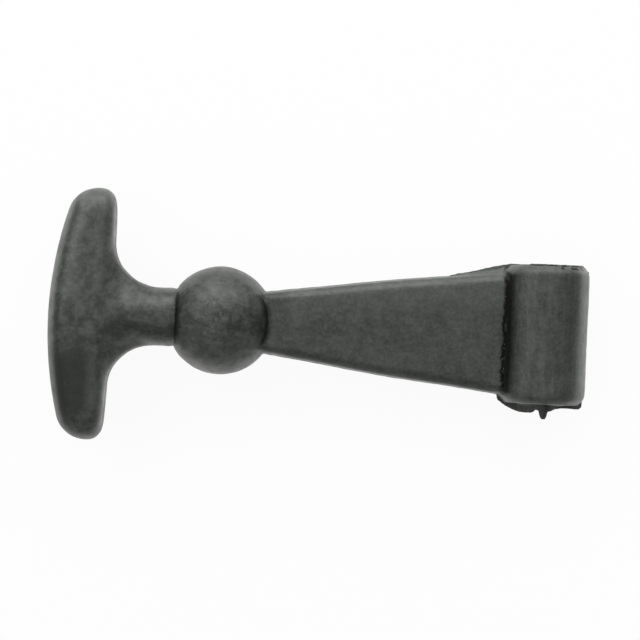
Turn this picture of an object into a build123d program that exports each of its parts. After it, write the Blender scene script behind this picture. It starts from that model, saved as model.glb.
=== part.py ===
from build123d import *
import os

# Battery hold-down strap: a moulded rubber T-handle draw strap with a ball and a pin barrel.
# The origin is the middle of the pin bore, on its axis. The strap runs towards -X from
# the barrel to the T-handle, the bore lies along Y, and +Z points out of the face that
# lies upwards. Z = 0 is the parting plane of the mould. All sizes are in mm.

# Pin barrel
barrel_diameter = 20.4
barrel_length = 32.4
barrel_rim_chamfer = 1.5
bore_diameter = 6.5

# Tapering web between the barrel and the ball
web_shoulder = 1.75
web_ball_width = 14.8
web_start_in_ball = 10.2
web_side_bow = 0.35
web_barrel_thickness = 7.4
web_ball_thickness = 10.2
web_edge_radius = 2.5
web_draft = 7.0

# Gusset that carries one side of the web out to the barrel's end
gusset_length = 13.0
gusset_slope = 0.11
gusset_end = 8.9
gusset_overhang = 0.22
gusset_thickness = 4.4
gusset_draft = 38.0

# Ball
ball_diameter = 25.5
ball_distance = 76.4

# Neck between the ball and the T-handle
neck_diameter = 13.8
neck_length = 12.95
neck_root_radius = 11.0

# T-handle: its crown, bow, corner and edges are shares of its depth
handle_width = 59.55
handle_over_neck = 1.2
handle_face_step = 0.15
palm_crown_share = 0.338
palm_corner_share = 0.48
palm_edge_share = 0.44
finger_bow_share = 0.038
finger_edge_share = 0.243
handle_offset = 0.28
handle_skew = 1.05

# Flash left in the parting plane and round the core pin
flash_thickness = 0.6
flash_root = 2.1
flash_collar_wall = 0.5
flash_collar_reach = 0.65
flash_overhang = 0.4
flash_start = 1.0
flash_lobe_reach = 2.3
flash_lobe_bulge = 0.95
flash_lobe_end = 2.9
flash_notch_reach = 1.5
flash_notch_end = 1.6
flash_nub_reach = 3.6
flash_nub_width = 2.6
flash_nub_tip_width = 1.3
flash_nub_tip_radius = 0.6
flash_nub_offset = 0.7
flash_end_reach = 1.0
flash_end_start = 4.6
flash_end_length = 4.6
torn_tab_width = 11.0

# Lip of flash at the barrel's other end
lip_reach = 0.28
lip_start = 8.8
lip_step = 4.0
lip_end = 8.4
lip_corner = 1.1

# Places worked out from the sizes
barrel_radius = barrel_diameter / 2
bore_radius = bore_diameter / 2
ball_radius = ball_diameter / 2
neck_radius = neck_diameter / 2
barrel_end = barrel_length / 2
collar_radius = bore_radius + flash_collar_wall
web_ball_x = web_start_in_ball - ball_distance
web_end_half_width = barrel_end - web_shoulder
handle_half_width = handle_width / 2
handle_depth = neck_diameter + handle_over_neck
handle_half_thickness = neck_radius + handle_face_step
handle_root_x = -(ball_distance + ball_radius + neck_length)
handle_middle_x = handle_root_x - handle_depth / 2
palm_tip_x = handle_depth * (palm_crown_share - 1 / 2)
finger_tip_x = handle_depth * (1 / 2 - finger_bow_share)

# T-handle: the bar's outline, crowned at the palm and bowed at the fingers
with BuildPart() as handle:
    with BuildSketch(Plane((handle_middle_x, 0, 0)).rotated((0, 0, -handle_skew))) as bar_outline:
        with BuildLine():
            palm = ThreePointArc(
                (palm_tip_x, -handle_half_width),
                (-handle_depth / 2, 0),
                (palm_tip_x, handle_half_width),
            )
            fingers = ThreePointArc(
                (finger_tip_x, handle_half_width),
                (handle_depth / 2, 0),
                (finger_tip_x, -handle_half_width),
            )
            Line(palm @ 1, fingers @ 0)
            Line(fingers @ 1, palm @ 0)
        make_face()
        fillet(bar_outline.vertices().sort_by(Axis.X)[:2], palm_corner_share * handle_depth)
    extrude(amount=handle_half_thickness, both=True)

    # The palm side is nearly a half round, and the finger side has its own smaller rounding
    finger_edges = handle.faces().sort_by(Axis.X)[-1].edges()
    palm_edges = handle.faces().filter_by(Axis.Z).edges() - finger_edges
    fillet(palm_edges, palm_edge_share * handle_depth)
    fillet(handle.faces().sort_by(Axis.X)[-1].edges(), finger_edge_share * handle_depth)

    # Neck, from the middle of the bar to the middle of the ball, with its wide root fillet
    with BuildSketch(Plane.YZ.offset(handle_middle_x)):
        Circle(neck_radius)
    extrude(amount=-ball_distance - handle_middle_x)
    root_edges = handle.edges().filter_by(
        lambda edge: abs(edge.center().Y) <= neck_radius
        and edge.bounding_box().size.Y < neck_diameter
        and handle_middle_x < edge.center().X < -ball_distance - ball_radius
    )
    fillet(root_edges, neck_root_radius)

# Web: the half above the parting plane, drafted and thinning towards the barrel, and its mirror
with BuildPart() as web:
    with BuildSketch():
        with BuildLine():
            side = Polyline(
                (-barrel_radius, web_end_half_width),
                (
                    (web_ball_x - barrel_radius) / 2,
                    (web_ball_width / 2 + web_end_half_width) / 2 + web_side_bow,
                ),
                (web_ball_x, web_ball_width / 2),
            )
            into_barrel = Line(side @ 0, side @ 0 - (side % 0) * barrel_radius / 2)
            Line(into_barrel @ 1, ((into_barrel @ 1).X, 0))
            into_ball = Line(side @ 1, side @ 1 + (side % 1) * ball_radius)
            Line(into_ball @ 1, ((into_ball @ 1).X, 0))
            mirror(about=Plane.XZ)
        make_face()
    extrude(amount=web_ball_thickness, taper=web_draft)
    with BuildSketch(Plane.XZ):
        with BuildLine():
            Polyline(
                (-ball_distance, 0),
                (-ball_distance, web_ball_thickness / 2),
                (0, web_barrel_thickness / 2),
                (0, 0),
                close=True,
            )
        make_face()
    extrude(amount=barrel_length, both=True, mode=Mode.INTERSECT)
    upper_face = web.faces().sort_by(Axis.Z)[-1]
    long_edges = upper_face.edges().filter_by(lambda edge: edge.bounding_box().size.X > barrel_radius)
    fillet(long_edges, web_edge_radius)
    mirror(about=Plane.XY)

# Gusset: a low corner beside the web, sloping down from it to the barrel's end
with BuildPart() as gusset:
    with BuildSketch():
        with BuildLine():
            Polyline(
                (-barrel_radius - gusset_length, web_end_half_width - gusset_length * gusset_slope),
                (-gusset_end, barrel_end + gusset_overhang),
                (-gusset_end, web_end_half_width / 2),
                (-barrel_radius - gusset_length, web_end_half_width / 2),
                close=True,
            )
        make_face()
    extrude(amount=gusset_thickness / 2, both=True, taper=gusset_draft)

# Flash: the sheet torn off at one end of the barrel, with a nub beside the core pin
with BuildPart() as flash:
    with BuildSketch() as torn_outline:
        with BuildLine():
            lobe = SagittaArc(
                (-flash_lobe_end, -barrel_end - flash_lobe_reach),
                (-barrel_radius - flash_overhang, -barrel_end + flash_start),
                flash_lobe_bulge,
            )
            Polyline(
                lobe @ 0,
                (-flash_notch_end, -barrel_end - flash_notch_reach),
                (flash_nub_offset - flash_nub_width / 2, -barrel_end - flash_notch_reach),
                (flash_nub_offset - flash_nub_tip_width / 2, -barrel_end - flash_nub_reach),
                (flash_nub_offset + flash_nub_tip_width / 2, -barrel_end - flash_nub_reach),
                (flash_nub_offset + flash_nub_width / 2, -barrel_end - flash_notch_reach),
                (flash_end_start, -barrel_end - flash_end_reach),
                (flash_end_start + flash_end_length, -barrel_end - flash_end_reach),
                (flash_end_start + flash_end_length + flash_overhang, -barrel_end),
                (flash_end_start + flash_end_length, -barrel_end + flash_root),
                (-barrel_radius, -barrel_end + flash_root),
                lobe @ 1,
            )
        make_face()
        nub_tips = torn_outline.vertices().sort_by(Axis.Y)[:2]
        fillet(nub_tips, flash_nub_tip_radius)
    extrude(amount=flash_thickness / 2, both=True)
    # Past the collar the sheet stands clear of the core pin
    with Locations((0, -barrel_end - flash_collar_reach - flash_nub_reach, 0)):
        Box(2 * collar_radius, 2 * flash_nub_reach, flash_thickness, mode=Mode.SUBTRACT)

    # Lip at the other end, which steps up beside the collar and follows the barrel's corner
    with BuildSketch():
        with BuildLine():
            Polyline(
                (-lip_start, barrel_end - flash_root),
                (-lip_start, barrel_end + lip_reach),
                (-lip_step, barrel_end + lip_reach),
                (-collar_radius, barrel_end + flash_collar_reach),
                (lip_end, barrel_end + flash_collar_reach),
                (barrel_radius, barrel_end - lip_corner),
                (lip_end, barrel_end - flash_root),
                close=True,
            )
        make_face()
    extrude(amount=flash_thickness / 2, both=True)

# Torn tab: the scrap with the nub, which lies just clear of the bore in front of its mouth
with BuildPart() as torn_tab:
    with BuildSketch(Plane.XY.offset(collar_radius)):
        add(torn_outline.sketch)
        with Locations((0, -barrel_end)):
            Rectangle(torn_tab_width, barrel_end, mode=Mode.INTERSECT)
    extrude(amount=flash_thickness)

# Barrel with chamfered rims
with BuildPart() as barrel:
    with BuildSketch(Plane.XZ):
        Circle(barrel_radius)
    extrude(amount=barrel_end, both=True)
    chamfer(barrel.edges().filter_by(GeomType.CIRCLE), barrel_rim_chamfer)

with BuildPart() as strap:
    add(barrel.part)
    add(web.part)
    add(gusset.part)
    with Locations((-ball_distance, 0, 0)):
        Sphere(ball_radius)
    # The handle lies slightly to one side of the strap's middle
    add(handle.part.translate((0, handle_offset, 0)))
    add(flash.part)
    add(torn_tab.part)
    # Collars where the rubber squeezed out round the core pin, then the bore through it all
    with BuildSketch(Plane.XZ):
        Circle(collar_radius)
    extrude(amount=barrel_end + flash_collar_reach, both=True)
    with BuildSketch(Plane.XZ):
        Circle(bore_radius)
    extrude(amount=barrel_length, both=True, mode=Mode.SUBTRACT)

strap.part.label = "strap"
os.makedirs("parts", exist_ok=True)
export_step(strap.part, "parts/strap.step")
print("strap", strap.part.is_valid, strap.part.volume, strap.part.bounding_box())
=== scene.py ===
import bmesh
import bpy
import math
import numpy as np
from mathutils import Matrix, Vector


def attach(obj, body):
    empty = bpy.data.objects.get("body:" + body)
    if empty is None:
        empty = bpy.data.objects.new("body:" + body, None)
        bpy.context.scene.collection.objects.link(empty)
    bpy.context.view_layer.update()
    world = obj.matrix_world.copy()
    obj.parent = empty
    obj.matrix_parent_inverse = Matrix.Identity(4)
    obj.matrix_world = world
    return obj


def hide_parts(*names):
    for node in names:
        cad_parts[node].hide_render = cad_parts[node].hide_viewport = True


MM = 0.001
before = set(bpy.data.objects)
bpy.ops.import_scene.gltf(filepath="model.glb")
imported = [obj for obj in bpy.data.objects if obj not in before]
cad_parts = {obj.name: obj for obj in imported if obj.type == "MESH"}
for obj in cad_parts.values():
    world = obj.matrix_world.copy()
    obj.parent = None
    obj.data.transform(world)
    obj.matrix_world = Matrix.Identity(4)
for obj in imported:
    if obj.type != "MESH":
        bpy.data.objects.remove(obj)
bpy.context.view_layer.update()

# The photograph's view: straight down on the strap, turned a little in the picture
VIEW_TURN = math.radians(2.63)
VIEW_CENTRE = Vector((-52.93, 1.18, 0.0)) * MM
VIEW_WIDTH = 151.0 * MM
CAMERA_HEIGHT = 520.0 * MM
SENSOR_WIDTH = 36.0
NEAREST_SEEN = 0.01

# The sky: a soft light whose middle leans towards the handle and the window
SKY_AXIS = Vector((-0.32, 0.22, 0.87))
SKY_EDGE = 0.35
SKY_FULL = 0.92
SKY_LOW = 0.40
SKY_HIGH = 0.90

# The lamps: directions in degrees, sizes and distance in metres
WINDOW = {"azimuth": 92, "elevation": 23, "size": (1.7, 0.8), "radiance": 2.65}
LEFT_PANEL = {"azimuth": 150, "elevation": 42, "size": (0.45, 0.35), "radiance": 2.0}
LAMP_DISTANCE = 1.0

# The floor: its half width in metres, its paint and how much of its look is a plain white glow
FLOOR_HALF_WIDTH = 3.0
FLOOR_PAINT = (0.86, 0.86, 0.86, 1)
FLOOR_ROUGHNESS = 0.9
FLOOR_GLOW_SHARE = 0.93

# Places on the moulding, in mm: the ball, the barrel, the neck and the web
BALL_X = -76.4
BALL_RADIUS = 12.75
BARREL_RADIUS = 10.2
BARREL_END = 16.2
NECK_RADIUS = 6.9
NECK_OFFSET = 0.28
WEB_HALF_THICKNESS = 3.7
WEB_GROWTH = 1.4
WEB_SIDE_SLOPE = 0.113
WEB_SHOULDER = 1.75
WEB_HALF_WIDTH_AT_BALL = 7.0

# The skin: a fine copy of the moulding that carries its small unevenness, in mm
SKIN_VOXEL = 0.27
SKIN_SMOOTHING = 3
SKIN_TRIANGLES = 190000
SMOOTH_FACTOR = 0.5
SWELL_SIZE = 11.0
SWELL_DEPTH = 0.16
RIPPLE_SIZE = 2.6
RIPPLE_DEPTH = 0.035
FINE_RIPPLE_SHARE = 0.5

# The ragged ridge at the parting plane, on faces that look sideways, in mm
RIDGE_HEIGHT = 0.14
RIDGE_WIDTH = 0.28
RIDGE_TILT = (0.6, 0.1)
RIDGE_MIDDLE = 0.6
RIDGE_CHANGE = 0.4
RIDGE_NOISE_SIZE = 1.5

# The barrel's softened rims, in mm
RIM_START = 14.7
RIM_SOFTNESS = 1.1
RIM_INNER_RADIUS = 7.5
RIM_X = -9.0
RIM_ROUNDS = 30

# The creases and their wandering line, in mm
CREASE_DEPTH = 0.45
CREASE_WIDTH = 0.36
CREASE_HALF_LENGTH = 14.6
CREASE_END_FADE = 1.0
CREASE_WANDER = 0.2
CREASE_WANDER_SIZE = 1.1
FINE_WANDER = 0.1
FINE_WANDER_SIZE = 0.45
WEB_CREASE_SHARE = 0.7
NECK_CREASE_SHARE = 0.5

# Painted shade beside the creases, where the next surface lies in their shade: how far it reaches
# up that surface, in mm, and how dark it is
FLANK_REACH = 3.2
NECK_SIDE_REACH = 1.9
CLEAR_OF_FACE = 0.1
ON_SURFACE = 0.5
LIP_REACH = 1.0
LIP_FADE = 0.9
LIP_SHADE = 0.42
LIP_THICKNESS = 0.8
BALL_SIDE_SHADE = 0.8
NECK_SIDE_SHADE = 0.95

# The torn spots on one rim of the barrel, in mm
TORN_SIZE = 0.9
TORN_LEVELS = (-0.1, 0.15)
TORN_Y = (15.3, 15.6)
TORN_X_START = (2.2, 2.7)
TORN_X_END = (9.4, 8.4)
TORN_RADIUS = 8.4
TORN_HEIGHT = 2.5
TORN_SHADE = 0.8

# Painted highlights and painted shade lines along the handle's edges: share, middle and width, by
# how far the surface is tilted
PALM_LINES = [(0.8, 0.8, 0.1), (-0.5, 0.61, 0.09)]
PALM_UPPER_LINE = (0.6, 0.4, 0.13)
PALM_X = (-105, -107)
PALM_UPPER_Y = (-4, 4)

# The same painted highlights and shade lines at the root of the handle's lower half, first at the
# neck and then at the fillet
ROOT_DIRECTION = (0.5, -0.87)
ROOT_X_START = (-105, -102.5)
ROOT_X_END = (-89, -90)
FILLET_X = (-92, -97)
ROOT_PALE_SHARE = (0.3, 0.9)
ROOT_PALE_MIDDLE = (0.8, 0.65)
ROOT_PALE_WIDTH = 0.18
ROOT_DARK_SHARE = (0.35, 0.6)
ROOT_DARK_MIDDLE = (0.42, 0.23)
ROOT_DARK_WIDTH = 0.13

# The web's faces fall away a little towards its edges, in mm
CROWN_START = -62.0
CROWN_END = -10.6
CROWN_START_FADE = 3.0
CROWN_END_FADE = 2.0
CROWN_HALF_WIDTHS = (7.8, 14.4)
CROWN_DEPTH = 0.26
CROWN_POWER = 4
CROWN_TILT = (0.3, 0.8)

# The even slope from the web's rounded edge down to the gusset's outer edge, in mm
GUSSET_CORNER_X = -8.9
GUSSET_CORNER_Y = 16.35
GUSSET_SLOPE = 0.238
GUSSET_START = -23.0
SLOPE_START = 1.2
SLOPE_HEIGHT = 3.0
SLOPE_FOOT = 0.2
SLOPE_EDGE_GAP = 0.05
SLOPE_X_END = (-9.7, -10.1)
SHORTEST_RUN = 0.1

# The torn tab with the nub, which bends over the core pin's place and leans a little, in mm
TAB_HEIGHT = 4.05
TAB_LOWEST = 2.5
TAB_PAST_END = (0.05, 0.2)
NUB_LEAN = 0.42

# The torn flash: ragged sheets, in mm
FLASH_VOXEL = 0.11
FLASH_SMOOTHING = 3
FLASH_THICKNESS = 0.74
FLASH_ARCH_HEIGHT = 4.4
FLASH_ARCH_REACH = 6.2
FLASH_STEP = 0.15
NIBBLE_DEPTH = 0.05
NIBBLE_SIZE = 0.8
LUMP_DEPTH = 0.06
LUMP_SIZE = 1.1
FINE_LUMP_SHARE = 0.4
FINE_LUMP_SIZE = 0.4
FIN_THICKNESS = 0.5

# Outlines of the flash: x, and how far past the end of the barrel, in mm
SHEET_OUTLINE = [
    (-8.8, -2.0), (-10.6, -1.9), (-10.2, -0.5), (-8.7, 0.5), (-7.0, 1.3), (-5.4, 1.85),
    (-4.0, 2.1), (-2.6, 2.1), (-1.95, 1.75), (-1.45, 1.2), (-0.95, 1.3), (-0.75, 2.1),
    (-0.45, 3.0), (-0.1, 3.35), (0.4, 3.35), (0.75, 2.9), (0.95, 2.0), (1.4, 1.55),
    (2.2, 1.45), (3.0, 1.1), (4.6, 0.85), (5.8, 0.7), (7.8, 0.9), (8.9, 0.95),
    (9.5, 0.45), (9.7, -0.9), (9.3, -2.0),
]
LIP_OUTLINE = [
    (9.9, -1.9), (10.0, -1.0), (8.3, 0.36), (7.0, 0.5), (5.6, 0.42), (5.0, 0.25), (4.3, 0.6),
    (3.1, 0.52), (2.3, 0.3), (0.2, 0.45), (-3.6, 0.36), (-6.0, 0.3), (-8.9, 0.28), (-8.6, -1.9),
]
FIN_OUTLINE = [
    (-8.8, 0.28), (-11.0, -0.2), (-13.4, -0.7), (-18.0, -1.95),
    (-22.8, -3.0), (-22.8, -3.6), (-13.0, -1.9), (-8.8, -1.2),
]

# Torn scraps on the lip: x, how far past the end of the barrel, and half their length, in mm
SCRAPS = [(2.6, 0.1, 0.5), (4.6, 0.2, 0.42), (5.5, 0.0, 0.5), (3.6, -0.1, 0.3)]
SCRAP_CORNERS = 6
SCRAP_SHARE_ACROSS = 0.8
SCRAP_BOTTOM = 0.2
SCRAP_THICKNESS = 0.9

# Crumbs along the crease beside the barrel, in mm
CRUMB_COUNT = 12
CRUMB_SIZE = (0.07, 0.15)
CRUMB_X = -9.75
CRUMB_Z = 3.95
CRUMB_SPREAD = 0.16
CRUMB_LENGTH_SHARE = 0.97
CRUMB_DETAIL = 3
CRUMB_STRETCH_X = (0.7, 1.1)
CRUMB_STRETCH_Y = (0.9, 2.0)
CRUMB_FLATNESS = 0.6
CRUMB_BUMP = 0.35
CRUMB_BUMP_SIZE = 0.9
CRUMB_NOISE_STEP = 7

# Seeds of the random lattices
SEEDS = {
    "swell": 11, "ripple": 12, "fine ripple": 13, "ridge": 14, "crease": 15, "fine crease": 16,
    "torn rim": 17, "sheet": 21, "lip": 51, "scraps": 61, "fin": 81,
    "crumbs": 91, "crumb bumps": 92,
}
SCRAP_SEED_STEP = 5
LUMP_SEED_STEP = 2
FINE_LUMP_SEED_STEP = 3
LATTICE_VALUES = 4096
LATTICE_FACTORS = (73856093, 19349663, 83492791)

# Colours of the rubber where it is bare and where its bloom is full
MOULDED_DARK = (0.008, 0.0105, 0.0078)
MOULDED_PALE = (0.064, 0.0725, 0.0605)
# A darker copy of the rubber for the torn flash: the flash's own darker torn colour, and painted
# shade for the sheet under the barrel's end
TORN_SHADED_DARK = (0.004, 0.0045, 0.004)
TORN_SHADED_PALE = (0.02, 0.022, 0.0195)
SCRAP_DARK = (0.05, 0.054, 0.05)
SCRAP_PALE = (0.12, 0.125, 0.115)
SCRAP_WORN = 0.3
# The colour of the painted shade in and beside the creases, also taken by the torn spots
SHADE_AND_TORN_COLOUR = (0.002, 0.002, 0.002)

# The rubber's noise: feature size in mm, detail, roughness and stretch
BLOTCHES = {"size_mm": 8.0, "detail": 5.0, "roughness": 0.6}
PATCHES = {"size_mm": 2.4, "detail": 3.0, "roughness": 0.6}
GRAINS = {"size_mm": 0.8, "detail": 4.0, "roughness": 0.7}
STREAKS = {"size_mm": 1.3, "detail": 3.0, "roughness": 0.6, "stretch": (1, 0.1, 1)}
MARKS = {"size_mm": 1.5, "detail": 5.0, "roughness": 0.75}
RARE_MARKS = {"size_mm": 1.0, "detail": 5.0, "roughness": 0.7}
GLOSS_CHANGES = {"size_mm": 3.0, "detail": 4.0, "roughness": 0.6}
GRAIN_BUMPS = {"size_mm": 0.4, "detail": 3.0, "roughness": 0.6}
PITS = {"size_mm": 1.6, "detail": 4.0, "roughness": 0.6}

# The part of each noise's range that is spread from none to all
BLOTCH_LEVELS = (0.36, 0.66)
PATCH_LEVELS = (0.36, 0.66)
GRAIN_LEVELS = (0.36, 0.68)
STREAK_LEVELS = (0.35, 0.68)
MARK_LEVELS = (0.50, 0.66)
RARE_LEVELS = (0.66, 0.74)
GLOSS_LEVELS = (0.35, 0.65)

# Where the bloom changes: the axis, and where the change begins and ends on it, in mm
BANDS = {
    "barrel": ("x", -10.0, -9.0),
    "mottled": ("x", -62.0, -66.0),
    "ball from neck": ("x", -90.0, -87.0),
    "ball from web": ("x", -62.0, -65.0),
    # Painted light: the ball's lower side is paler
    "lit ball lower side": ("y", -1.0, -5.0),
    "handle": ("x", -97.0, -103.0),
    # Painted shade on the handle's lower half, fading before its tip
    "lower half shade": ("y", -4.0, -12.0),
    "lower shade before tip": ("y", -26.5, -21.0),
    "fingers": ("x", -108.0, -104.0),
    # Painted light on the handle's lower finger side, upper half and palm edge
    "lit lower fingers": ("y", -5.0, -13.0),
    "lit upper half": ("y", -1.0, 9.0),
    "palm from outside": ("x", -113.0, -110.5),
    "palm from inside": ("x", -107.5, -109.5),
    # Painted reflection: the barrel's far rim is paler
    "far rim reflection": ("x", 6.8, 8.2),
    # Painted shade on the barrel's side between its crest and its far rim
    "side shade from crest": ("x", 3.0, 4.5),
    "side shade from rim": ("x", 7.2, 6.0),
    "web from ball": ("x", -62.0, -58.0),
    "web from barrel": ("x", -10.0, -10.6),
    # Painted light: the web is paler on its upper side and towards its gusset
    "lit web upper side": ("across web", 4.5, 12.5),
    "gusset": ("across web", 14.6, 15.6),
    "scuffs from neck": ("x", -82.0, -79.0),
    "scuffs from web": ("x", -73.5, -76.5),
    "scuffs from below": ("y", -8.5, -5.0),
    "scuffs from above": ("y", 8.0, 4.0),
    "top of ball": ("z", 9.0, 11.0),
}

# How much each of these adds to the bloom, or takes from it
SHARES = {
    "blotches": 0.2,
    "patches": 0.22,
    "grains": 0.36,
    "barrel streaks": 0.3,
    "mottling": 0.25,
    # Painted light on the ball's lower side
    "lit ball lower side": 0.22,
    # Painted shade on the handle's lower half, less at its finger side
    "lower_handle_shade": 0.85,
    "lower shade at fingers": 0.75,
    # Painted light on the handle's lower finger side, upper half and upper edges
    "lit lower fingers": 0.2,
    "lit upper half": 0.26,
    "upper edge highlights": 0.22,
    # Painted reflection on the barrel's far rim
    "far rim reflection": 0.8,
    # Painted shade on the barrel's side
    "barrel_side_shade": 0.3,
    # Painted light on the web's upper side and towards its gusset
    "lit web upper side": 0.3,
    "gusset": 0.3,
    "ball scuffs": 0.8,
    "rare scuffs": 0.4,
    # Painted highlights and shade lines along the handle's edges
    "painted handle lines": 0.55,
}
MOTTLING_MIDDLE = 0.5
MOST_BLOOM = 1.6

# The rubber's painted shade, sheen and relief
SHADE_AND_TORN_LEVELS = (0.05, 0.9)
SHADE_AND_TORN_STRENGTH = 0.9
GLOSS_ROUGHNESS = (0.36, 0.50)
FACING_BLEND = 0.5
STEEP_LEVELS = (0.36, 0.6)
STEEP_SHINE = (0.5, 1.0)
# How much shine the painted shade on the handle's lower half takes away
LOWER_SHADE_DULLNESS = 0.2
RUBBER_IOR = 1.52
SHEEN_WEIGHT = 0.1
SHEEN_ROUGHNESS = 0.3
GRAIN_RELIEF_SHARE = 0.4
RELIEF_STRENGTH = 0.6
RELIEF_DEPTH_MM = 0.1

# Sockets of a Mix node that blends colours
MIX_SHARE = 0
MIX_FIRST = 6
MIX_SECOND = 7
MIX_RESULT = 2


def lattice_noise(points, size, seed):
    """Smooth noise between -1 and 1, from random values on a lattice of this spacing."""
    rng = np.random.default_rng(seed)
    table = rng.uniform(-1, 1, LATTICE_VALUES)
    place = np.asarray(points) / size
    cell = np.floor(place).astype(np.int64)
    share = place - cell
    share = share * share * (3 - 2 * share)
    total = np.zeros(len(place))
    for corner in np.ndindex(2, 2, 2):
        keys = (cell + np.array(corner)) * np.array(LATTICE_FACTORS)
        index = keys[:, 0] ^ keys[:, 1] ^ keys[:, 2]
        weight = np.prod(np.where(corner, share, 1 - share), axis=1)
        total += weight * table[index % len(table)]
    return total


def rise(value, start, end):
    """0 before the start, 1 past the end and even in between; the end may be the smaller one."""
    return np.clip((value - start) / (end - start), 0, 1)


def hump(value, middle, width):
    """A smooth bump that is 1 at the middle and fades over this width."""
    return np.exp(-(((value - middle) / width) ** 2))


def between(pair, share):
    """The first value at share 0 and the second at share 1."""
    first, second = pair
    return first + (second - first) * share


def inside_width(y, half_width):
    """1 within this half width of the strap's middle, fading to 0 at its end."""
    return np.clip((half_width - np.abs(y)) / CREASE_END_FADE, 0, 1)


def evaluated(obj):
    """The object's mesh with its modifiers applied."""
    bpy.context.view_layer.update()
    graph = bpy.context.evaluated_depsgraph_get()
    return bpy.data.meshes.new_from_object(obj.evaluated_get(graph))


def remeshed(mesh, voxel, smoothing):
    """A voxel remesh of a mesh in mm, smoothed."""
    obj = bpy.data.objects.new("remesh_source", mesh)
    bpy.context.scene.collection.objects.link(obj)
    remesh = obj.modifiers.new("remesh", "REMESH")
    remesh.mode = "VOXEL"
    remesh.voxel_size = voxel
    smooth = obj.modifiers.new("smooth", "SMOOTH")
    smooth.factor = SMOOTH_FACTOR
    smooth.iterations = smoothing
    result = evaluated(obj)
    bpy.data.objects.remove(obj)
    return result


def reduced(mesh, triangles):
    """The mesh collapsed to this many triangles, finest where it bends most."""
    obj = bpy.data.objects.new("reduce_source", mesh)
    bpy.context.scene.collection.objects.link(obj)
    count = sum(len(face.vertices) - 2 for face in mesh.polygons)
    collapse = obj.modifiers.new("collapse", "DECIMATE")
    collapse.ratio = min(1.0, triangles / count)
    result = evaluated(obj)
    bpy.data.objects.remove(obj)
    return result


def read_points(mesh):
    """The places and normals of the mesh's vertices."""
    points = np.empty(len(mesh.vertices) * 3)
    normals = np.empty(len(mesh.vertices) * 3)
    mesh.vertices.foreach_get("co", points)
    mesh.vertices.foreach_get("normal", normals)
    return points.reshape(-1, 3), normals.reshape(-1, 3)


def write_points(mesh, points):
    """Moves the mesh's vertices to these places."""
    mesh.vertices.foreach_set("co", np.ascontiguousarray(points).ravel())
    mesh.update()


def read_edges(mesh):
    """The two vertices of each edge."""
    edges = np.empty(2 * len(mesh.edges), dtype=np.int64)
    mesh.edges.foreach_get("vertices", edges)
    return edges.reshape(-1, 2)


def add_piece(name, mesh, material):
    """Adds a finished piece in metres, which rides with the strap and stands for its solid."""
    mesh.transform(Matrix.Scale(MM, 4))
    mesh.shade_smooth()
    mesh.materials.clear()
    mesh.materials.append(material)
    piece = bpy.data.objects.new(name, mesh)
    bpy.context.scene.collection.objects.link(piece)
    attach(piece, "root")
    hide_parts("strap")


def surface_gaps(points):
    """How far each point lies outside the barrel, the web's faces, the ball and the neck."""
    x, y, z = points.T
    along = points * (0, 1, 0)
    wander = CREASE_WANDER * lattice_noise(along, CREASE_WANDER_SIZE, SEEDS["crease"])
    wander += FINE_WANDER * lattice_noise(along, FINE_WANDER_SIZE, SEEDS["fine crease"])
    off_barrel = np.hypot(x, z) - BARREL_RADIUS + wander
    off_web = np.abs(z) - WEB_HALF_THICKNESS - WEB_GROWTH * x / BALL_X
    off_ball = np.linalg.norm(points - (BALL_X, 0, 0), axis=1) - BALL_RADIUS
    off_neck = np.hypot(y - NECK_OFFSET, z) - NECK_RADIUS
    return off_barrel, off_web, off_ball, off_neck


def near_creases(points):
    """How near each point lies to a crease: web to barrel, web to ball or neck to ball."""
    x, y = points[:, :2].T
    off_barrel, off_web, off_ball, off_neck = surface_gaps(points)

    def near(first, second):
        return np.exp(-(first**2 + second**2) / CREASE_WIDTH**2)

    at_barrel = near(off_barrel, off_web) * (x < 0) * inside_width(y, CREASE_HALF_LENGTH)
    at_web = near(off_ball, off_web) * (x > BALL_X) * inside_width(y, WEB_HALF_WIDTH_AT_BALL)
    at_neck = near(off_ball, off_neck) * (x < BALL_X)
    return at_barrel + WEB_CREASE_SHARE * at_web + NECK_CREASE_SHARE * at_neck


def beside_creases(points):
    """Where painted shade lies beside the creases: up the barrel's and the ball's flanks and on
    the web.
    """
    x, y = points[:, :2].T
    off_barrel, off_web, off_ball, off_neck = surface_gaps(points)
    above_web = hump(off_web, 0, FLANK_REACH) * (off_web > CLEAR_OF_FACE)
    flank = above_web * (x < 0) * (off_barrel < ON_SURFACE)
    lip = np.clip((LIP_REACH - off_barrel) / LIP_FADE, 0, LIP_SHADE)
    lip *= (np.abs(off_web) < LIP_THICKNESS) * (x < 0)
    on_ball = np.abs(off_ball) < ON_SURFACE
    ball_side = above_web * on_ball * (x > BALL_X) * inside_width(y, WEB_HALF_WIDTH_AT_BALL)
    above_neck = hump(off_neck, 0, NECK_SIDE_REACH) * (off_neck > CLEAR_OF_FACE)
    neck_side = above_neck * on_ball * (x < BALL_X) * inside_width(y, NECK_RADIUS)
    beside_barrel = (flank + lip) * inside_width(y, CREASE_HALF_LENGTH)
    return beside_barrel + BALL_SIDE_SHADE * ball_side + NECK_SIDE_SHADE * neck_side


def torn_rim(points):
    """The dark torn spots on one rim of the barrel."""
    x, y, z = points.T
    spots = rise(lattice_noise(points, TORN_SIZE, SEEDS["torn rim"]), *TORN_LEVELS)
    spots *= rise(y, *TORN_Y) * rise(x, *TORN_X_START) * rise(x, *TORN_X_END)
    return spots * (np.hypot(x, z) > TORN_RADIUS) * (np.abs(z) > TORN_HEIGHT)


def shaded(points):
    """Where painted shade darkens the surface in and beside the creases, with the dark torn spots
    on one rim.
    """
    shade_and_torn = near_creases(points) + beside_creases(points) + TORN_SHADE * torn_rim(points)
    return np.clip(shade_and_torn, 0, 1)


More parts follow.
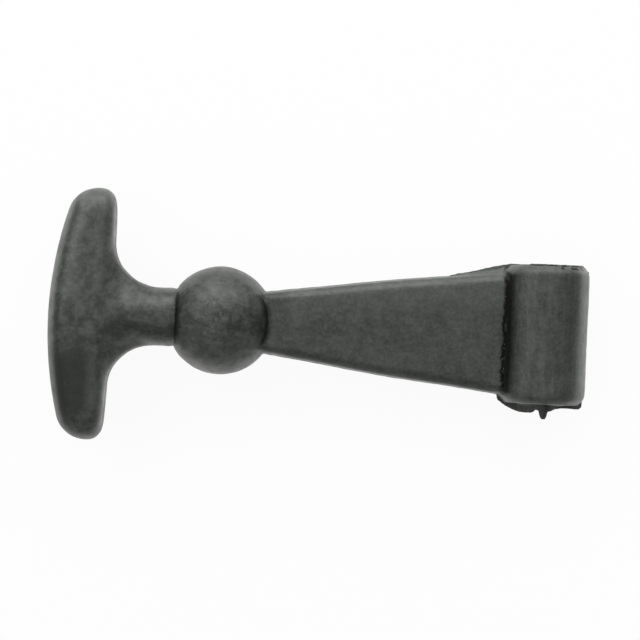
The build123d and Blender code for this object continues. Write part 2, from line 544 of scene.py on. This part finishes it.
def streaks(points, normals):
    """Painted highlights and painted shade lines along the handle's palm edge and the root of its
    lower half, by how far the surface is tilted.
    """
    x, y = points[:, :2].T
    palmwards = -normals[:, 0]
    palm = sum(share * hump(palmwards, middle, width) for share, middle, width in PALM_LINES)
    share, middle, width = PALM_UPPER_LINE
    palm += share * rise(y, *PALM_UPPER_Y) * hump(palmwards, middle, width)
    downwards = ROOT_DIRECTION[0] * normals[:, 0] + ROOT_DIRECTION[1] * normals[:, 1]
    at_fillet = rise(x, *FILLET_X)
    highlight_line = hump(downwards, between(ROOT_PALE_MIDDLE, at_fillet), ROOT_PALE_WIDTH)
    shade_line = hump(downwards, between(ROOT_DARK_MIDDLE, at_fillet), ROOT_DARK_WIDTH)
    root = between(ROOT_PALE_SHARE, at_fillet) * highlight_line
    root -= between(ROOT_DARK_SHARE, at_fillet) * shade_line
    on_root = rise(x, *ROOT_X_START) * rise(x, *ROOT_X_END)
    return rise(x, *PALM_X) * palm + on_root * root


def softened(points, edges, weights, rounds):
    """The points moved towards their neighbours, as far as their weights let them."""
    first, second = edges.T
    total = len(points)
    count = np.bincount(first, minlength=total) + np.bincount(second, minlength=total)
    for _ in range(rounds):
        sums = [
            np.bincount(first, column[second], total) + np.bincount(second, column[first], total)
            for column in points.T
        ]
        middle = np.stack(sums, axis=1) / count[:, None]
        points = points + SMOOTH_FACTOR * weights[:, None] * (middle - points)
    return points


def near_rims(points):
    """How near each point lies to a rim of the barrel."""
    x, y, z = points.T
    near = hump(np.abs(y), RIM_START, RIM_SOFTNESS)
    return near * (x > RIM_X) * (np.hypot(x, z) > RIM_INNER_RADIUS)


def sloped(points):
    """The points, with the corner between the web and its gusset filled to one even slope."""
    x, y, z = points.T
    web_side = BARREL_END - WEB_SHOULDER + WEB_SIDE_SLOPE * (x + BARREL_RADIUS)
    inner = web_side - SLOPE_START
    outer = GUSSET_CORNER_Y + GUSSET_SLOPE * (x - GUSSET_CORNER_X)
    run = np.maximum(outer - inner, SHORTEST_RUN)
    height = SLOPE_HEIGHT * np.clip((outer - y) / run, 0, 1) + SLOPE_FOOT
    beside = (y > inner) & (y < outer - SLOPE_EDGE_GAP) & (x > GUSSET_START)
    lift = beside * rise(x, *SLOPE_X_END) * np.maximum(height - np.abs(z), 0)
    return np.stack([x, y, z + np.sign(z) * lift], axis=1)


def unevenness(points):
    """How far the faces lie below their true place, in broad swells and small ripples."""
    swell = lattice_noise(points, SWELL_SIZE, SEEDS["swell"])
    ripple = lattice_noise(points, RIPPLE_SIZE, SEEDS["ripple"])
    ripple += FINE_RIPPLE_SHARE * lattice_noise(points, RIPPLE_SIZE / 2, SEEDS["fine ripple"])
    return SWELL_DEPTH / 2 * (1 - swell) + RIPPLE_DEPTH / 2 * (1 - ripple)


def parting_ridge(points, normals):
    """How far the ragged ridge at the parting plane stands out."""
    sideways = rise(np.abs(normals[:, 2]), *RIDGE_TILT)
    ragged = RIDGE_MIDDLE + RIDGE_CHANGE * lattice_noise(points, RIDGE_NOISE_SIZE, SEEDS["ridge"])
    return RIDGE_HEIGHT * hump(points[:, 2], 0, RIDGE_WIDTH) * sideways * ragged


def web_crown(points, normals):
    """How far the web's faces fall away towards its edges."""
    x, y = points[:, :2].T
    half_width = between(CROWN_HALF_WIDTHS, rise(x, CROWN_START, CROWN_END))
    on_web = rise(x, CROWN_START, CROWN_START + CROWN_START_FADE)
    on_web *= rise(x, CROWN_END, CROWN_END - CROWN_END_FADE)
    facing = rise(np.abs(normals[:, 2]), *CROWN_TILT)
    return CROWN_DEPTH * (y / half_width) ** CROWN_POWER * on_web * facing


def arch_height(x):
    """How high the flash rises where it arches over the core pin's place."""
    turn = np.clip(np.asarray(x) / FLASH_ARCH_REACH, -1, 1) * math.pi / 2
    return FLASH_ARCH_HEIGHT * np.cos(turn) ** 2


def bent_tab(points):
    """The points, with the torn tab bent over the core pin's place."""
    x, y, z = points.T
    past_end = rise(-BARREL_END - y, *TAB_PAST_END) * (z > TAB_LOWEST) * (x > -BARREL_RADIUS)
    lift = past_end * (arch_height(x) - TAB_HEIGHT)
    return np.stack([x - NUB_LEAN * past_end, y, z + lift], axis=1)


def make_skin(node, material):
    """The moulding's surface: softened corners, uneven faces, creases and the parting ridge."""
    source = node.data.copy()
    source.transform(Matrix.Scale(1 / MM, 4))
    mesh = remeshed(source, SKIN_VOXEL, SKIN_SMOOTHING)
    points = read_points(mesh)[0]
    points = softened(points, read_edges(mesh), near_rims(points), RIM_ROUNDS)
    write_points(mesh, sloped(points))
    points, normals = read_points(mesh)
    sunk = unevenness(points) + CREASE_DEPTH * near_creases(points) + web_crown(points, normals)
    points = points + normals * (parting_ridge(points, normals) - sunk)[:, None]
    write_points(mesh, bent_tab(points))
    skin = reduced(mesh, SKIN_TRIANGLES)
    points, normals = read_points(skin)
    # Vertex values for the material: painted shade in and beside the creases with the torn spots,
    # and painted highlights and shade lines along the handle's edges
    for name, values in [("crease", shaded(points)), ("painted_handle_light", streaks(points, normals))]:
        layer = skin.attributes.new(name, "FLOAT", "POINT")
        layer.data.foreach_set("value", values.astype(np.float32))
    add_piece("strap_skin", skin, material)


def nibbled(outline, seed):
    """Close points along the outline, moved in and out a little."""
    corners = [Vector((x, y, 0)) for x, y in outline]
    dense = []
    for start, end in zip(corners, corners[1:] + corners[:1]):
        count = max(1, round((end - start).length / FLASH_STEP))
        side = (end - start).normalized().cross(Vector((0, 0, 1)))
        dense += [(start.lerp(end, i / count), side) for i in range(count)]
    places = np.array([tuple(point) for point, _ in dense])
    moves = NIBBLE_DEPTH * lattice_noise(places, NIBBLE_SIZE, seed)
    return [point + side * float(move) for (point, side), move in zip(dense, moves)]


def ragged_sheet(name, outline, material, seed, bottom, thickness):
    """A torn sheet of rubber with a nibbled outline and lumpy faces, which follows the arch."""
    bm = bmesh.new()
    face = bm.faces.new([bm.verts.new(point) for point in nibbled(outline, seed)])
    copied = bmesh.ops.extrude_face_region(bm, geom=[face])["geom"]
    top = [item for item in copied if isinstance(item, bmesh.types.BMVert)]
    bmesh.ops.translate(bm, verts=top, vec=(0, 0, thickness))
    bmesh.ops.translate(bm, verts=bm.verts, vec=(0, 0, bottom))
    bmesh.ops.triangulate(bm, faces=bm.faces)
    bmesh.ops.recalc_face_normals(bm, faces=bm.faces)
    rough = bpy.data.meshes.new(name)
    bm.to_mesh(rough)
    bm.free()
    mesh = remeshed(rough, FLASH_VOXEL, FLASH_SMOOTHING)
    points, normals = read_points(mesh)
    lump = lattice_noise(points, LUMP_SIZE, seed + LUMP_SEED_STEP)
    lump += FINE_LUMP_SHARE * lattice_noise(points, FINE_LUMP_SIZE, seed + FINE_LUMP_SEED_STEP)
    points = points + normals * (LUMP_DEPTH * lump)[:, None]
    points[:, 2] += arch_height(points[:, 0])
    write_points(mesh, points)
    add_piece(name, mesh, material)


def make_flash(body, torn, pale):
    """The flash: a sheet at one end of the barrel, a lip with scraps at the other, and a fin."""
    sheet = [(x, -BARREL_END - past) for x, past in SHEET_OUTLINE]
    lip = [(x, BARREL_END + past) for x, past in LIP_OUTLINE]
    fin = [(x, BARREL_END + past) for x, past in FIN_OUTLINE]
    # The sheet and the lip take the darker rubber, which also paints the barrel's shade onto the
    # sheet
    ragged_sheet("flash_sheet", sheet, torn, SEEDS["sheet"], -FLASH_THICKNESS / 2, FLASH_THICKNESS)
    ragged_sheet("flash_lip", lip, torn, SEEDS["lip"], -FLASH_THICKNESS / 2, FLASH_THICKNESS)
    ragged_sheet("gusset_fin", fin, body, SEEDS["fin"], -FIN_THICKNESS / 2, FIN_THICKNESS)
    turns = [math.tau * corner / SCRAP_CORNERS for corner in range(SCRAP_CORNERS)]
    for index, (x, past, reach) in enumerate(SCRAPS):
        across = reach * SCRAP_SHARE_ACROSS
        scrap = [
            (x + reach * math.cos(turn), BARREL_END + past - across * math.sin(turn))
            for turn in turns
        ]
        seed = SEEDS["scraps"] + SCRAP_SEED_STEP * index
        ragged_sheet(f"scrap_{index}", scrap, pale, seed, SCRAP_BOTTOM, SCRAP_THICKNESS)


def make_crumbs(material):
    """Tiny torn crumbs along the crease between the web and the barrel."""
    rng = np.random.default_rng(SEEDS["crumbs"])
    bm = bmesh.new()
    for index in range(CRUMB_COUNT):
        y = rng.uniform(-CREASE_HALF_LENGTH, CREASE_HALF_LENGTH) * CRUMB_LENGTH_SHARE
        size = rng.uniform(*CRUMB_SIZE)
        across = rng.normal(0, CRUMB_SPREAD)
        crumb = bmesh.ops.create_icosphere(bm, subdivisions=CRUMB_DETAIL, radius=1.0)["verts"]
        shape = np.array([tuple(vert.co) for vert in crumb])
        noise_place = shape + CRUMB_NOISE_STEP * index
        bump = 1 + CRUMB_BUMP * lattice_noise(noise_place, CRUMB_BUMP_SIZE, SEEDS["crumb bumps"])
        stretch = (rng.uniform(*CRUMB_STRETCH_X), rng.uniform(*CRUMB_STRETCH_Y), CRUMB_FLATNESS)
        places = shape * bump[:, None] * stretch * size + (CRUMB_X + across, y, CRUMB_Z)
        for vert, place in zip(crumb, places):
            vert.co = place
    mesh = bpy.data.meshes.new("crease_crumbs")
    bm.to_mesh(mesh)
    bm.free()
    add_piece("crease_crumbs", mesh, material)


class Nodes:
    """A material's node tree, with short calls that add wired nodes."""

    def __init__(self, name):
        self.material = bpy.data.materials.new(name)
        self.material.use_nodes = True
        self.tree = self.material.node_tree
        self.shader = self.tree.nodes["Principled BSDF"]
        self.output = self.tree.nodes["Material Output"]

    def wire(self, value, socket):
        """Links a socket to this one, or sets a plain value."""
        if isinstance(value, bpy.types.NodeSocket):
            self.tree.links.new(value, socket)
        else:
            socket.default_value = value

    def add(self, kind, settings=None, order=(), **inputs):
        """A node whose first inputs come in this order and whose other inputs come by name."""
        node = self.tree.nodes.new(kind)
        for key, value in (settings or {}).items():
            setattr(node, key, value)
        for index, value in enumerate(order):
            self.wire(value, node.inputs[index])
        for key, value in inputs.items():
            self.wire(value, node.inputs[key])
        return node.outputs[0]

    def noise(self, place, size_mm, detail, roughness, stretch=(1, 1, 1)):
        """Noise about 0.5 whose features are this many millimetres across."""
        scaled = self.add("ShaderNodeVectorMath", {"operation": "MULTIPLY"}, (place, stretch))
        scale = 1 / (size_mm * MM)
        return self.add(
            "ShaderNodeTexNoise", Vector=scaled, Scale=scale, Detail=detail, Roughness=roughness
        )

    def spread(self, value, low, high, to_low=0.0, to_high=1.0):
        """A smooth, clamped ramp from one range to another."""
        order = (value, low, high, to_low, to_high)
        return self.add("ShaderNodeMapRange", {"interpolation_type": "SMOOTHSTEP"}, order)

    def maths(self, operation, first, second):
        return self.add("ShaderNodeMath", {"operation": operation}, (first, second))

    def plus(self, first, *others):
        for other in others:
            first = self.maths("ADD", first, other)
        return first

    def times(self, first, *others):
        for other in others:
            first = self.maths("MULTIPLY", first, other)
        return first

    def less(self, first, second):
        return self.maths("SUBTRACT", first, second)

    def attribute(self, name):
        """A value that the mesh carries at its vertices."""
        return self.add("ShaderNodeAttribute", {"attribute_name": name}).node.outputs["Fac"]

    def blend(self, share, first, second):
        """From the first colour at share 0 past the second one at share 1."""
        node = self.tree.nodes.new("ShaderNodeMix")
        node.data_type = "RGBA"
        node.clamp_factor = False
        self.wire(share, node.inputs[MIX_SHARE])
        self.wire(first, node.inputs[MIX_FIRST])
        self.wire(second, node.inputs[MIX_SECOND])
        return node.outputs[MIX_RESULT]


def rubber_material(name, dark, pale, worn=0.0):
    """Moulded rubber: grey bloom in blotches and streaks, painted shade and painted light in
    places, grain and dull sheen.
    """
    nodes = Nodes(name)
    plus, times, less = nodes.plus, nodes.times, nodes.less
    place = nodes.add("ShaderNodeTexCoord").node.outputs["Object"]
    split = nodes.add("ShaderNodeSeparateXYZ", order=(place,)).node
    axes = dict(zip("xyz", split.outputs))
    axes["across web"] = plus(axes["y"], times(axes["x"], -WEB_SIDE_SLOPE))

    def band(key):
        axis, start, end = BANDS[key]
        return nodes.spread(axes[axis], start * MM, end * MM)

    def pattern(noise, levels):
        return nodes.spread(nodes.noise(place, **noise), *levels)

    def share_of(key, *factors):
        return times(*factors, SHARES[key])

    # Bloom in blotches, patches and grains, and in streaks along the barrel
    patches = pattern(PATCHES, PATCH_LEVELS)
    bloom = plus(
        share_of("blotches", pattern(BLOTCHES, BLOTCH_LEVELS)),
        share_of("patches", patches),
        share_of("grains", pattern(GRAINS, GRAIN_LEVELS)),
        share_of("barrel streaks", pattern(STREAKS, STREAK_LEVELS), band("barrel")),
    )

    # The ball and the handle are mottled more than the rest, and painted light makes the ball's
    # lower side paler
    on_ball = times(band("ball from neck"), band("ball from web"))
    bloom = plus(
        bloom,
        share_of("mottling", band("mottled"), less(patches, MOTTLING_MIDDLE)),
        share_of("lit ball lower side", on_ball, band("lit ball lower side")),
    )

    # Painted shade: the handle's lower half is darker, but not its finger side. Painted light: its
    # lower finger side, its upper half and its upper edges are paler
    on_handle = band("handle")
    fingers = band("fingers")
    lower_handle_shade = times(on_handle, band("lower half shade"), band("lower shade before tip"))
    lower_handle_shade = times(lower_handle_shade, less(SHARES["lower_handle_shade"], share_of("lower shade at fingers", fingers)))
    bloom = times(bloom, less(1.0, lower_handle_shade))
    palm_highlight = times(band("palm from outside"), band("palm from inside"))
    upper_edge_highlights = share_of("upper edge highlights", plus(palm_highlight, fingers))
    bloom = plus(
        bloom,
        share_of("lit lower fingers", on_handle, fingers, band("lit lower fingers")),
        times(on_handle, band("lit upper half"), plus(SHARES["lit upper half"], upper_edge_highlights)),
        # Painted reflection: the barrel's far rim is paler
        share_of("far rim reflection", band("far rim reflection")),
    )

    # Painted shade: the barrel's side is darker between its crest and its far rim. Painted light:
    # the web is paler on its upper side and towards its gusset
    barrel_side_shade = share_of("barrel_side_shade", band("side shade from crest"), band("side shade from rim"))
    on_web = times(band("web from ball"), band("web from barrel"))
    bloom = plus(
        times(bloom, less(1.0, barrel_side_shade)),
        share_of("lit web upper side", on_web, band("lit web upper side")),
        share_of("gusset", on_web, band("gusset")),
    )

    # Scuffs, most of them on top of the ball, and the painted highlights and shade lines along the
    # handle's edges
    on_top = times(band("scuffs from neck"), band("scuffs from web"), band("top of ball"))
    on_top = times(on_top, band("scuffs from below"), band("scuffs from above"))
    bloom = plus(
        bloom,
        share_of("ball scuffs", pattern(MARKS, MARK_LEVELS), on_top),
        share_of("rare scuffs", pattern(RARE_MARKS, RARE_LEVELS)),
        share_of("painted handle lines", nodes.attribute("painted_handle_light")),
        worn,
    )
    bloom = nodes.maths("MINIMUM", nodes.maths("MAXIMUM", bloom, 0.0), MOST_BLOOM)

    # Painted shade in and beside the creases, and the torn spots, darken the colour and take away
    # the shine
    shade_and_torn = times(nodes.spread(nodes.attribute("crease"), *SHADE_AND_TORN_LEVELS), SHADE_AND_TORN_STRENGTH)
    unshaded = less(1.0, shade_and_torn)
    colour = nodes.blend(bloom, (*dark, 1), (*pale, 1))
    colour = nodes.blend(unshaded, (*SHADE_AND_TORN_COLOUR, 1), colour)
    steep = nodes.add("ShaderNodeLayerWeight", Blend=FACING_BLEND).node.outputs["Facing"]
    shine = nodes.spread(steep, *STEEP_LEVELS, *STEEP_SHINE)
    shine = times(less(shine, times(lower_handle_shade, LOWER_SHADE_DULLNESS)), unshaded)
    gloss = nodes.spread(nodes.noise(place, **GLOSS_CHANGES), *GLOSS_LEVELS, *GLOSS_ROUGHNESS)
    grain = times(nodes.noise(place, **GRAIN_BUMPS), GRAIN_RELIEF_SHARE)
    relief = plus(grain, nodes.noise(place, **PITS))
    depth = RELIEF_DEPTH_MM * MM
    bump = nodes.add("ShaderNodeBump", Strength=RELIEF_STRENGTH, Distance=depth, Height=relief)
    looks = {
        "Base Color": colour,
        "Roughness": gloss,
        "Specular IOR Level": shine,
        "IOR": RUBBER_IOR,
        "Sheen Weight": SHEEN_WEIGHT,
        "Sheen Roughness": SHEEN_ROUGHNESS,
        "Normal": bump,
    }
    for key, value in looks.items():
        nodes.wire(value, nodes.shader.inputs[key])
    return nodes.material


def make_stage():
    """A white floor under the ball and the barrel, which stays white in the picture."""
    slope = math.asin((BALL_RADIUS - BARREL_RADIUS) / -BALL_X)
    half = FLOOR_HALF_WIDTH
    mesh = bpy.data.meshes.new("floor")
    corners = [(-half, -half, 0), (half, -half, 0), (half, half, 0), (-half, half, 0)]
    mesh.from_pydata(corners, [], [(0, 1, 2, 3)])
    floor = bpy.data.objects.new("floor", mesh)
    bpy.context.scene.collection.objects.link(floor)
    turn = Matrix.Rotation(-slope, 4, "Y")
    floor.matrix_world = Matrix.Translation(turn @ Vector((0, 0, -BARREL_RADIUS * MM))) @ turn
    nodes = Nodes("floor_white")
    nodes.wire(FLOOR_PAINT, nodes.shader.inputs["Base Color"])
    nodes.wire(FLOOR_ROUGHNESS, nodes.shader.inputs["Roughness"])
    glow = nodes.add("ShaderNodeEmission", Color=(1, 1, 1, 1), Strength=1.0)
    path = nodes.add("ShaderNodeLightPath").node
    seen = nodes.maths("MAXIMUM", path.outputs["Is Camera Ray"], path.outputs["Is Glossy Ray"])
    share = nodes.times(seen, FLOOR_GLOW_SHARE)
    mixed = nodes.add("ShaderNodeMixShader", order=(share, nodes.shader.outputs[0], glow))
    nodes.wire(mixed, nodes.output.inputs["Surface"])
    mesh.materials.append(nodes.material)


def make_world():
    """Soft light, brightest above and towards the handle and the window, and dimmer low down."""
    world = bpy.data.worlds.new("studio")
    bpy.context.scene.world = world
    world.use_nodes = True
    tree = world.node_tree
    background = tree.nodes["Background"]
    background.inputs["Color"].default_value = (1, 1, 1, 1)
    place = tree.nodes.new("ShaderNodeTexCoord")
    towards = tree.nodes.new("ShaderNodeVectorMath")
    towards.operation = "DOT_PRODUCT"
    towards.inputs[1].default_value = SKY_AXIS.normalized()
    tree.links.new(place.outputs["Generated"], towards.inputs[0])
    light = tree.nodes.new("ShaderNodeMapRange")
    light.interpolation_type = "SMOOTHSTEP"
    light.inputs["From Min"].default_value = SKY_EDGE
    light.inputs["From Max"].default_value = SKY_FULL
    light.inputs["To Min"].default_value = SKY_LOW
    light.inputs["To Max"].default_value = SKY_HIGH
    tree.links.new(towards.outputs["Value"], light.inputs["Value"])
    path = tree.nodes.new("ShaderNodeLightPath")
    seen = tree.nodes.new("ShaderNodeMath")
    seen.operation = "MAXIMUM"
    tree.links.new(path.outputs["Is Camera Ray"], seen.inputs[0])
    tree.links.new(light.outputs["Result"], seen.inputs[1])
    tree.links.new(seen.outputs[0], background.inputs["Strength"])


def softbox(name, azimuth, elevation, size, radiance):
    """A rectangular lamp that faces the middle of the picture."""
    lamp = bpy.data.lights.new(name, "AREA")
    lamp.shape = "RECTANGLE"
    lamp.size, lamp.size_y = size
    lamp.energy = radiance * math.pi * lamp.size * lamp.size_y
    obj = bpy.data.objects.new(name, lamp)
    bpy.context.scene.collection.objects.link(obj)
    turn = math.radians(azimuth)
    height = math.radians(elevation)
    level = math.cos(height)
    out = Vector((math.cos(turn) * level, math.sin(turn) * level, math.sin(height)))
    obj.location = VIEW_CENTRE + out * LAMP_DISTANCE
    obj.rotation_euler = (-out).to_track_quat("-Z", "Y").to_euler()


def make_camera():
    """The camera straight above the strap, turned as in the photograph."""
    data = bpy.data.cameras.new("camera")
    data.sensor_width = SENSOR_WIDTH
    data.lens = SENSOR_WIDTH * CAMERA_HEIGHT / VIEW_WIDTH
    data.clip_start = NEAREST_SEEN
    camera = bpy.data.objects.new("camera", data)
    bpy.context.scene.collection.objects.link(camera)
    camera.location = VIEW_CENTRE + Vector((0, 0, CAMERA_HEIGHT))
    camera.rotation_euler = (0, 0, VIEW_TURN)
    bpy.context.scene.camera = camera


rubber = rubber_material("moulded_rubber", MOULDED_DARK, MOULDED_PALE)
# The darker copy for the flash, partly painted shade
torn_and_shaded_rubber = rubber_material("torn_and_shaded_rubber", TORN_SHADED_DARK, TORN_SHADED_PALE)
pale_rubber = rubber_material("pale_scraps", SCRAP_DARK, SCRAP_PALE, SCRAP_WORN)
make_skin(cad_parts["strap"], rubber)
make_flash(rubber, torn_and_shaded_rubber, pale_rubber)
make_crumbs(rubber)
make_stage()
make_world()
softbox("window", **WINDOW)
softbox("left_panel", **LEFT_PANEL)
make_camera()
bpy.context.scene.view_settings.view_transform = "Standard"
